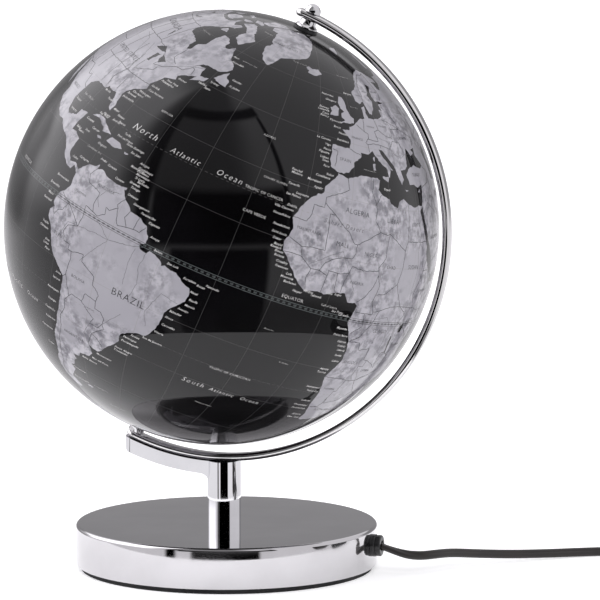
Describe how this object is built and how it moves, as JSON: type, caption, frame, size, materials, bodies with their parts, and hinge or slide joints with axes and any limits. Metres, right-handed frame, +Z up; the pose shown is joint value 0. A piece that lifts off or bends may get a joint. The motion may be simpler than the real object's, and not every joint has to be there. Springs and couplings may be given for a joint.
{
  "type": "desktop globe on stand",
  "caption": "Illuminated black and silver desktop globe on a tilted axis, held by a chrome meridian arc, arm and column on a round weighted base with a mains lead.",
  "frame": {"origin": "centre of the base pad's underside, on the table", "axes": "+Z up; the meridian arc, arm and tilted axis lie in the XZ plane, the axis leans towards +X, and the mains lead leaves the base at +X"},
  "size_m": [0.4446, 0.25, 0.3265],
  "materials": {
    "chrome": "mirror-polished chrome plate",
    "black_foam": "dense black foam rubber, matt",
    "zinc_steel": "zinc-plated steel",
    "cast_iron": "rough cast iron, black primer",
    "black_bushing": "black moulded polyamide",
    "cord_pvc": "black-brown soft PVC",
    "block_nylon": "natural polyamide",
    "brass": "turned brass",
    "globe_plastic": "printed map in black and silver under clear lacquer",
    "ring_plastic": "moulded polystyrene",
    "bush_nylon": "black polyamide",
    "holder_plastic": "black heat-resistant plastic",
    "holder_ceramic": "unglazed ceramic",
    "bulb_glass": "frosted glass",
    "wire_silicone": "silicone-covered wire",
    "switch_plastic": "black moulded plastic",
    "plug_plastic": "black soft moulded plug",
    "nickel": "nickel-plated brass"
  },
  "bodies": {
    "stand": {"base_pad": "black_foam", "base_plate": "zinc_steel", "base_plate_screws": "zinc_steel", "plate_spacers": "zinc_steel", "ballast": "cast_iron", "base_cover": "chrome", "cable_bushing": "black_bushing", "inner_lead": "cord_pvc", "cord_clamp": "block_nylon", "clamp_screws": "zinc_steel", "terminal_block": "block_nylon", "terminal_screws": "brass", "column_nipple": "zinc_steel", "nipple_washer": "zinc_steel", "nipple_nut": "zinc_steel", "column_arm": "chrome", "meridian_arc": "chrome", "arc_screws": "zinc_steel", "north_pin": "chrome", "north_collar": "chrome", "south_collar": "chrome", "south_tube": "zinc_steel", "lamp_holder_cap": "holder_plastic", "lamp_holder_sleeve": "holder_plastic", "lamp_contact": "holder_ceramic", "bulb_cap": "nickel", "bulb_glass": "bulb_glass", "lamp_wires": "wire_silicone", "cord_lead": "cord_pvc", "cord_middle": "cord_pvc", "cord_coil": "cord_pvc", "cord_tail": "cord_pvc", "switch_base": "switch_plastic", "switch_cover": "switch_plastic", "switch_screws": "zinc_steel", "switch_terminals": "brass", "plug_body": "plug_plastic", "plug_pins": "nickel"},
    "globe": {"globe_shell_upper": "globe_plastic", "globe_shell_lower": "globe_plastic", "equator_ring": "ring_plastic", "north_bush": "bush_nylon", "south_bush": "bush_nylon", "north_washer": "bush_nylon", "south_washer": "bush_nylon"},
    "rocker": {"switch_rocker": "switch_plastic"}
  },
  "joints": [
    {"name": "globe_spin", "type": "hinge", "parent": "stand", "child": "globe", "pos_m": [-0.0026, 0, 0.1973], "axis": [0.3987, 0, 0.9171], "continuous": true},
    {"name": "switch_press", "type": "hinge", "parent": "stand", "child": "rocker", "pos_m": [0.242, 0.024, 0.0115], "axis": [-1, 0, 0], "range_deg": [0, 16]}
  ]
}
